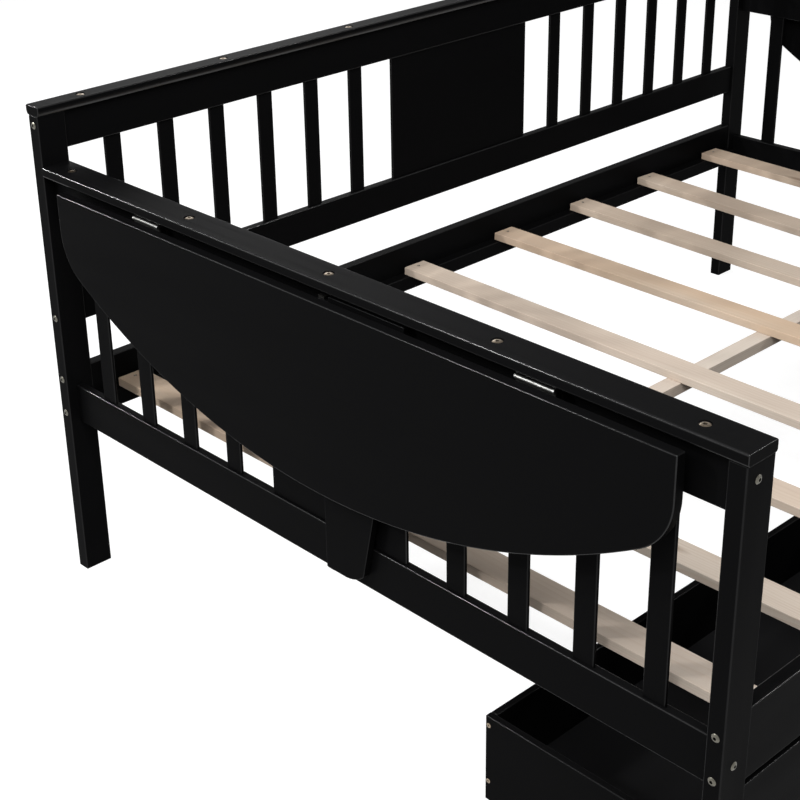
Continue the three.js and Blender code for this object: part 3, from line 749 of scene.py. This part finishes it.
class DAYBED_OT_rails(bpy.types.Operator):
    """Rails and boards of the back and the ends, and the rails' spindles"""

    bl_idname = "daybed.rails"
    bl_label = "Rails and spindles"

    def execute(self, context):
        panels = ("back", "left_end", "right_end")
        nodes = [f"{panel}_{part}" for panel in panels for part in ("upper_rail", "middle_board")]
        for seed, node in enumerate(nodes, SEEDS["boards"]):
            painted_board(node, seed, tone=BOARD_SHINE)
        self.lower_rail("back", 0, 6, sizes().back_spindle, sizes().back_rail_height, SEEDS["back"])
        width, height = sizes().end_spindle, sizes().end_rail_height
        for i, end in enumerate(ENDS):
            self.lower_rail(f"{end}_end", 1, 4, width, height, SEEDS["ends"] + 20 * i)
        for i, side in enumerate(("rear", "front")):
            self.side_rail(side, SEEDS["side_rails"] + 10 * i)
        return {"FINISHED"}

    def lower_rail(self, panel, axis, count, width, height, seed):
        """A panel's lower rail, and the spindles on its centre line to both sides of the middle board."""
        node = f"{panel}_lower_rail_with_spindles"
        low, high = box(node)
        board_low, board_high = box(f"{panel}_middle_board")
        top = low[2] + height
        piece = Piece()
        board(piece, low, (high[0], high[1], top), seed, LOWER_RAIL_SHINE)
        centres = spindle_centres(low[axis] - SEAT_GAP, board_low[axis], board_high[axis], count, width)
        across = 1 - axis
        line = 0.5 * (low[across] + high[across])
        half = 0.5 * sizes().spindle_thickness
        for own_seed, centre in enumerate(centres, seed + 1):
            foot, head = np.zeros(3), np.zeros(3)
            foot[axis], head[axis] = centre - width / 2, centre + width / 2
            foot[across], head[across] = line - half, line + half
            foot[2], head[2] = top - sizes().tenon, high[2]
            board(piece, foot, head, own_seed)
        piece.paint(node)

    def side_rail(self, side, seed):
        """A side rail and the cleat along its inner face, whose top is just under the slats."""
        node = f"{side}_side_rail"
        low, high = box(node)
        top = box("mattress_slat_1")[0][2] - SEAT_GAP
        bottom = top - sizes().cleat_height
        if side == "rear":
            inner = high[1] - sizes().side_rail
            rail, cleat = (inner, high[1]), (low[1], inner + CLEAT_OVERLAP)
        else:
            inner = low[1] + sizes().side_rail
            rail, cleat = (low[1], inner), (inner - CLEAT_OVERLAP, high[1])
        piece = Piece()
        rail_low, rail_high = (low[0], rail[0], low[2]), (high[0], rail[1], high[2])
        board(piece, rail_low, rail_high, seed, BOARD_SHINE)
        board(piece, (low[0], cleat[0], bottom), (high[0], cleat[1], top), seed + 1)
        piece.paint(node)


def recess(cap, places):
    """Cuts round recesses into a cap's top at the given places, and keeps its flat faces flat."""
    form = Piece()
    radius = 0.5 * sizes().counterbore
    for place in places:
        turned(form, [(radius, -sizes().counterbore_depth), (radius, 0.01)], place, UP, BOLT_STEPS)
    cutter = new_object("recess_cutter", form.mesh("recess cutter"))
    cap.modifiers.clear()
    cut = cap.modifiers.new("recesses", "BOOLEAN")
    cut.operation = "DIFFERENCE"
    cut.solver = "EXACT"
    cut.object = cutter
    bpy.context.view_layer.update()
    graph = bpy.context.evaluated_depsgraph_get()
    cap.data = bpy.data.meshes.new_from_object(cap.evaluated_get(graph), depsgraph=graph)
    cap.data.set_sharp_from_angle(angle=CUT_ANGLE)
    cap.modifiers.clear()
    bpy.data.objects.remove(cutter)
    keep_flat(cap).keep_sharp = True


class DAYBED_OT_caps(bpy.types.Operator):
    """Caps of the back and the ends, with recessed bolts"""

    bl_idname = "daybed.caps"
    bl_label = "Caps"

    def execute(self, context):
        low, high = box("back_cap")
        drop = high[2] - low[2] - sizes().cap_band
        middle = 0.5 * (low[1] + high[1])
        along = np.linspace(low[0] + BACK_CAP_BOLT_INSET, high[0] - BACK_CAP_BOLT_INSET, BACK_CAP_BOLTS)
        arcs = self.section("back_cap", 1, sizes().edge_round, sizes().cap_ease, drop, 2 * ARC_STEPS)
        self.cap("back_cap", arcs, 0, SEEDS["back_cap"], [(x, middle) for x in along])
        top_round, under = sizes().cap_top_round, sizes().cap_under_round
        for seed, (end, side) in enumerate(ENDS.items(), SEEDS["end_caps"]):
            node = f"{end}_end_cap"
            x, y, _ = 0.5 * sum(box(f"{end}_end_upper_rail"))
            points = [(x + side * CAP_BOLT_ASIDE, y + i * CAP_BOLT_SPACING) for i in range(-2, 3)]
            arcs = self.section(node, 0, top_round, under, under, ARC_STEPS)
            self.cap(node, arcs, 1, seed, points)
        return {"FINISHED"}

    def section(self, node, across, r, inward, drop, steps):
        """A flat top with eased edges, upright sides, and under each a quarter ellipse that runs inward."""
        low, high = box(node)
        left, right, top = low[across], high[across], high[2]
        return [
            (right - inward, low[2] + drop, inward, drop, -QUARTER, 0.0, steps),
            eased(right - r, top - r, r, 0.0, QUARTER),
            eased(left + r, top - r, r, QUARTER, 2 * QUARTER),
            (left + inward, low[2] + drop, inward, drop, 2 * QUARTER, 3 * QUARTER, steps),
        ]

    def cap(self, node, arcs, axis, seed, points):
        """A cap pushed along an axis, with a bolt in a recess at each of the points on its top."""
        low, high = box(node)
        piece = Piece()
        piece.add(*pushed(arcs, low[axis], high[axis], axis, sizes().end_round, seed), CAP_SHINE)
        recess(piece.paint(node), [(x, y, high[2]) for x, y in points])
        heads = Piece()
        rings = bolt_rings(sizes().cap_bolt, CAP_BOLT_RISE)
        for x, y in points:
            turned(heads, rings, (x, y, high[2] - sizes().counterbore_depth), UP, BOLT_STEPS)
        heads.fasten(f"{node}_bolts", "brass")


def leaf_arcs(low, high):
    """Outline of a leaf in (Y, Z): square at the top, and a bowed lower edge between two round corners."""
    middle = 0.5 * (low[1] + high[1])
    half = 0.5 * (high[1] - low[1])
    top = high[2]
    corner, bow, r = sizes().leaf_corner, sizes().leaf_bow, sizes().edge_round
    bow_z = top + bow - sizes().leaf_drop
    corner_y = half - corner
    corner_z = bow_z - math.sqrt((bow - corner) ** 2 - corner_y**2)
    turn = math.atan2(corner_z - bow_z, corner_y)
    return [
        eased(middle, bow_z, bow, -math.pi - turn, turn, BOW_STEPS),
        eased(middle + corner_y, corner_z, corner, turn, 0.0, CORNER_STEPS),
        eased(middle + half - r, top - r, r, 0.0, QUARTER),
        eased(middle - half + r, top - r, r, QUARTER, 2 * QUARTER),
        eased(middle - corner_y, corner_z, corner, math.pi, math.pi - turn, CORNER_STEPS),
    ]


class DAYBED_OT_leaves(bpy.types.Operator):
    """The two table leaves"""

    bl_idname = "daybed.leaves"
    bl_label = "Table leaves"

    def execute(self, context):
        for seed, end in enumerate(ENDS, SEEDS["leaves"]):
            node = f"{end}_table_leaf"
            low, high = box(node)
            arcs, ease = leaf_arcs(low, high), sizes().edge_round
            form = pushed(arcs, low[0], high[0], 0, ease, seed, grain_along=1)
            Piece().add(*form, LEAF_SHINE).paint(node, f"{end}_leaf")
        return {"FINISHED"}


def refinish(node, material):
    """Gives a node that keeps its own mesh its detailed material."""
    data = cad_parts[node].data
    data.materials.clear()
    data.materials.append(material)


class DAYBED_OT_fittings(bpy.types.Operator):
    """Hinges, brackets and their pivots"""

    bl_idname = "daybed.fittings"
    bl_label = "Table fittings"

    def execute(self, context):
        for end, side in ENDS.items():
            for row in ("rear", "front"):
                for half in ("fixed", "moving"):
                    self.hinge_half(end, side, row, half)
            refinish(f"{end}_bracket_pivot", plated("zinc"))
            self.bracket(end, side)
        return {"FINISHED"}

    def bracket(self, end, side):
        """A board whose lower edge is flat at the pivot and sweeps up on an arc to the slanting edge."""
        node = f"{end}_leaf_bracket"
        low, high = box(node)
        bottom, top = low[2], high[2]
        flat, sweep, foot = sizes().bracket_flat, sizes().bracket_sweep, sizes().bracket_foot
        notch_y, notch_z = sizes().bracket_notch, sizes().bracket_notch_drop
        y, r = low[1], sizes().edge_round
        rise = math.asin((foot - flat) / sweep)
        corner_z = bottom + sweep * (1.0 - math.cos(rise))
        slope = math.atan2(top - corner_z, high[1] - y - foot) - QUARTER
        begin = rise - QUARTER
        arcs = [
            eased(y + r, bottom + r, r, 2 * QUARTER, 3 * QUARTER),
            eased(y + flat, bottom + sweep, sweep, -QUARTER, begin, SWEEP_STEPS),
            eased(y + foot - r * math.cos(begin), corner_z - r * math.sin(begin), r, begin, slope),
            eased(high[1] - r, top - r, r, slope, QUARTER),
            eased(y + notch_y + r, top - r, r, QUARTER, 2 * QUARTER),
            eased(y + notch_y - r, top - notch_z + r, r, 0.0, -QUARTER),
            eased(y + r, top - notch_z - r, r, QUARTER, 2 * QUARTER),
        ]
        seed = SEEDS["brackets"] + side
        piece = Piece().add(*pushed(arcs, low[0], high[0], 0, sizes().end_round, seed, grain_along=2))
        if side < 0:
            piece.turn(math.pi, 0.5 * (low + high))
        piece.paint(node)

    def hinge_half(self, end, side, row, half):
        """The half itself, and three screws through its plate into the wood."""
        node = f"{end}_{row}_hinge_{half}_half"
        refinish(node, plated("hinge"))
        low, high = box(node)
        middle = 0.5 * (low + high)
        z = low[2] + HINGE_SCREW_HEIGHT
        if half == "fixed":
            body, facing = "frame", side
            x = high[0] - HINGE_PLATE if side < 0 else low[0] + HINGE_PLATE
        else:
            body, facing = f"{end}_leaf", -side
            x = middle[0] - side * (SEAT_GAP + HINGE_PLATE)
        heads = Piece()
        rings = screw_rings(sizes().screw_head, 0.0005)
        for i in (-1, 0, 1):
            turned(heads, rings, (x, middle[1] + i * HINGE_SCREW_SPACING, z), (facing, 0, 0))
        heads.fasten(f"{node}_screws", "zinc", body)


class DAYBED_OT_deck(bpy.types.Operator):
    """Pine slats and the beam under them, with the slats' screws"""

    bl_idname = "daybed.deck"
    bl_label = "Slatted deck"

    def execute(self, context):
        screws = Piece()
        for number, tones in enumerate(SLAT_TONES, 1):
            self.slat(f"mattress_slat_{number}", SEEDS["slats"] + 7 * number, tones, screws)
        screws.fasten("slat_screws", "zinc")
        beam = Piece()
        self.plank(beam, *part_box("centre_beam"), SEEDS["beam"])
        beam.build("centre_beam_planed", pale_pine(), "frame", "pine", ["centre_beam"])
        return {"FINISHED"}

    def plank(self, piece, low, high, seed):
        """A planed board with barely eased edges."""
        board(piece, low, high, seed, radius=PLANED_EDGE, round_end=PLANED_END)

    def slat(self, node, seed, tones, screws):
        """A slat between the middles of its node's two end faces, which lie askew on some slats.

        Its tone runs evenly from its front end to its rear end.
        """
        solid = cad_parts[node]
        corners = np.array([solid.matrix_world @ vertex.co for vertex in solid.data.vertices])
        rear = corners[:, 1] > corners[:, 1].mean()
        front_end, rear_end = (0.5 * (corners[at].min(0) + corners[at].max(0)) for at in (~rear, rear))
        along = rear_end - front_end
        length = np.linalg.norm(along)
        centre = 0.5 * (front_end + rear_end)
        half = 0.5 * np.array([SLAT_WIDTH, length, SLAT_THICKNESS])
        piece = Piece()
        self.plank(piece, centre - half, centre + half, seed)
        way = (piece.points[0][:, 1] - centre[1]) / length + 0.5
        piece.tone[0] = tones[0] + (tones[1] - tones[0]) * way
        piece.turn(-math.atan2(along[0], along[1]), centre)
        piece.build(f"{node}_planed", pale_pine(), "frame", "pine", [node])
        for end, step in ((front_end, SLAT_SCREW_INSET), (rear_end, -SLAT_SCREW_INSET)):
            x, y = (end + step * along / length)[:2]
            turned(screws, screw_rings(SLAT_SCREW, 0.0003), (x, y, centre[2] + half[2]), UP)


class DAYBED_OT_drawers(bpy.types.Operator):
    """Drawer boards, bottoms, wheels and screws"""

    bl_idname = "daybed.drawers"
    bl_label = "Drawers"

    def execute(self, context):
        for index, drawer in enumerate(DRAWERS):
            parts = ("front", "left_side", "right_side", "back")
            for seed, part in enumerate(parts, SEEDS["drawers"] + 10 * index):
                painted_board(f"{drawer}_{part}", seed, drawer)
            refinish(f"{drawer}_bottom", faced_board())
            self.screws(drawer)
            for corner in CORNERS:
                self.wheel(f"{drawer}_{corner}_wheel")
        return {"FINISHED"}

    def screws(self, drawer):
        """Two screws through each side into the end of the back."""
        heads = Piece()
        y = 0.5 * sum(box(f"{drawer}_back"))[1]
        for part, facing in (("left_side", -1), ("right_side", 1)):
            low, high = box(f"{drawer}_{part}")
            x = low[0] if facing < 0 else high[0]
            for z in (low[2] + DRAWER_SCREW_FOOT, high[2] - DRAWER_SCREW_TOP):
                turned(heads, screw_rings(DRAWER_SCREW), (x, y, z), (facing, 0, 0), DRAWER_SCREW_STEPS)
        heads.fasten(f"{drawer}_screws", "brass", drawer)

    def wheel(self, node):
        """A wheel turned about X, as rings of (radius, X): tread, round shoulders, sunk web and hub."""
        low, high = box(node)
        centre = 0.5 * (low + high)
        half, _, radius = 0.5 * (high - low)
        bore, soft, face = 0.0034, 0.002, half - 0.0002
        turn = np.linspace(0.0, QUARTER, 5)
        shoulder = [(radius - soft * (1 - math.cos(a)), half - soft * (1 - math.sin(a))) for a in turn]
        web = half - 0.002
        right = [*shoulder, (0.70 * radius, face), (0.66 * radius, web), (0.42 * radius, web),
                 (0.38 * radius, face), (bore, face)]
        left = [(r, -x) for r, x in right[:-1]]
        rings = np.array([(bore, -face), *left[::-1], *right])
        angle = np.linspace(0.0, 2.0 * math.pi, WHEEL_STEPS, endpoint=False)
        r, x = rings[:, :1], np.broadcast_to(rings[:, 1:], (len(rings), WHEEL_STEPS))
        points = np.stack([centre[0] + x, centre[1] + r * np.cos(angle), centre[2] + r * np.sin(angle)], 2)
        piece = Piece().add(points, tube(len(rings), WHEEL_STEPS, closed=True))
        piece.build(f"{node}_moulded", moulded_plastic(), node, "wheel_plastic", [node], SMOOTH_ANGLE)


class DAYBED_OT_bolts(bpy.types.Operator):
    """Domed bolts through the posts into the rails"""

    bl_idname = "daybed.bolts"
    bl_label = "Bolts"

    def execute(self, context):
        rings = bolt_rings(sizes().bolt_head, sizes().bolt_rise)
        for corner, (side, row) in CORNERS.items():
            low, high = box(f"{corner}_post")
            x, y = 0.5 * (low + high)[:2]
            face_x = low[0] if side < 0 else high[0]
            face_y = low[1] if row < 0 else high[1]
            heads = Piece()
            for z in END_BOLTS[row]:
                turned(heads, rings, (face_x, y, z), (side, 0, 0), BOLT_STEPS)
            for aside, z in FACE_BOLTS:
                turned(heads, rings, (x + side * aside, face_y, z), (0, row, 0), BOLT_STEPS)
            heads.fasten(f"{corner}_post_bolts", "bolt")
        return {"FINISHED"}


class DAYBED_OT_stage(bpy.types.Operator):
    """Floor, lights and camera"""

    bl_idname = "daybed.stage"
    bl_label = "Stage"

    def execute(self, context):
        self.floor()
        self.world()
        for name, values in LAMPS.items():
            self.lamp(name, *values)
        self.camera()
        context.scene.view_settings.view_transform = "Standard"
        return {"FINISHED"}

    def floor(self):
        mesh = bpy.data.meshes.new("floor")
        far = FLOOR_REACH
        corners = [(-far, -far, 0), (far, -far, 0), (far, far, 0), (-far, far, 0)]
        mesh.from_pydata(corners, [], [(0, 1, 2, 3)])
        mesh.materials.append(pale_floor())
        new_object("floor", mesh)

    def world(self):
        """White at the horizon and greyer above it where it is seen, and a dim even room for the light."""
        world = bpy.data.worlds.new("studio")
        world.use_nodes = True
        bpy.context.scene.world = world
        graph = Graph(world.node_tree)
        direction = graph.node("ShaderNodeTexCoord").outputs["Generated"]
        rise = graph.node("ShaderNodeSeparateXYZ", {"Vector": direction}).outputs["Z"]
        white = graph.times(seen_directly(graph), graph.span(rise, 0.32, 0.55, 1.0, 0.25))
        strength = graph.math("MAXIMUM", white, ROOM_LIGHT)
        graph.fill(world.node_tree.nodes["Background"], {"Color": WHITE, "Strength": strength})

    def lamp(self, name, place, aim, size, power):
        """A round lamp at a place, turned towards its aim."""
        data = bpy.data.lights.new(name, "AREA")
        data.shape = "DISK"
        data.size = size
        data.energy = power
        lamp = new_object(name, data)
        lamp.location = place
        lamp.rotation_euler = (Vector(aim) - Vector(place)).to_track_quat("-Z", "Y").to_euler()

    def camera(self):
        """Level right and up axes from the heading and the dip, then turned by the roll."""
        stage = bpy.context.scene.daybed_stage
        heading, dip, roll = stage.camera_heading, stage.camera_dip, stage.camera_roll
        reach = math.cos(dip)
        ahead = Vector((math.sin(heading) * reach, math.cos(heading) * reach, -math.sin(dip)))
        level = Vector((math.cos(heading), -math.sin(heading), 0.0))
        upright = level.cross(ahead)
        right = level * math.cos(roll) + upright * math.sin(roll)
        up = upright * math.cos(roll) - level * math.sin(roll)
        data = bpy.data.cameras.new("camera")
        data.sensor_width = 36.0
        data.lens = stage.focal_length
        data.shift_x, data.shift_y = stage.shift
        data.clip_end = 60.0
        camera = new_object("camera", data)
        axes = Matrix((right, up, -ahead)).transposed().to_4x4()
        camera.matrix_world = Matrix.Translation(Vector(stage.camera_place)) @ axes
        bpy.context.scene.camera = camera


BUILD_ORDER = (
    DAYBED_OT_posts,
    DAYBED_OT_rails,
    DAYBED_OT_caps,
    DAYBED_OT_leaves,
    DAYBED_OT_fittings,
    DAYBED_OT_deck,
    DAYBED_OT_drawers,
    DAYBED_OT_bolts,
    DAYBED_OT_stage,
)


class DAYBED_PT_panel(bpy.types.Panel):
    """Sizes, colours and the steps that build the daybed"""

    bl_idname = "DAYBED_PT_panel"
    bl_label = "Daybed"
    bl_space_type = "VIEW_3D"
    bl_region_type = "UI"
    bl_category = "Daybed"

    def draw(self, context):
        layout = self.layout
        for group in (context.scene.daybed_sizes, context.scene.daybed_colours, context.scene.daybed_stage):
            column = layout.box()
            for name in group.__annotations__:
                column.prop(group, name)
        for step in BUILD_ORDER:
            layout.operator(step.bl_idname)


PROPERTY_GROUPS = {
    "daybed_sizes": DAYBED_PG_sizes,
    "daybed_colours": DAYBED_PG_colours,
    "daybed_stage": DAYBED_PG_stage,
}


def register():
    for name, group in PROPERTY_GROUPS.items():
        bpy.utils.register_class(group)
        setattr(bpy.types.Scene, name, bpy.props.PointerProperty(type=group))
    for cls in (*BUILD_ORDER, DAYBED_PT_panel):
        bpy.utils.register_class(cls)


def unregister():
    for cls in (DAYBED_PT_panel, *reversed(BUILD_ORDER)):
        bpy.utils.unregister_class(cls)
    for name, group in PROPERTY_GROUPS.items():
        delattr(bpy.types.Scene, name)
        bpy.utils.unregister_class(group)


def main():
    """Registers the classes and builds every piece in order."""
    register()
    for step in BUILD_ORDER:
        group, name = step.bl_idname.split(".")
        getattr(getattr(bpy.ops, group), name)()


if __name__ == "__main__":
    main()
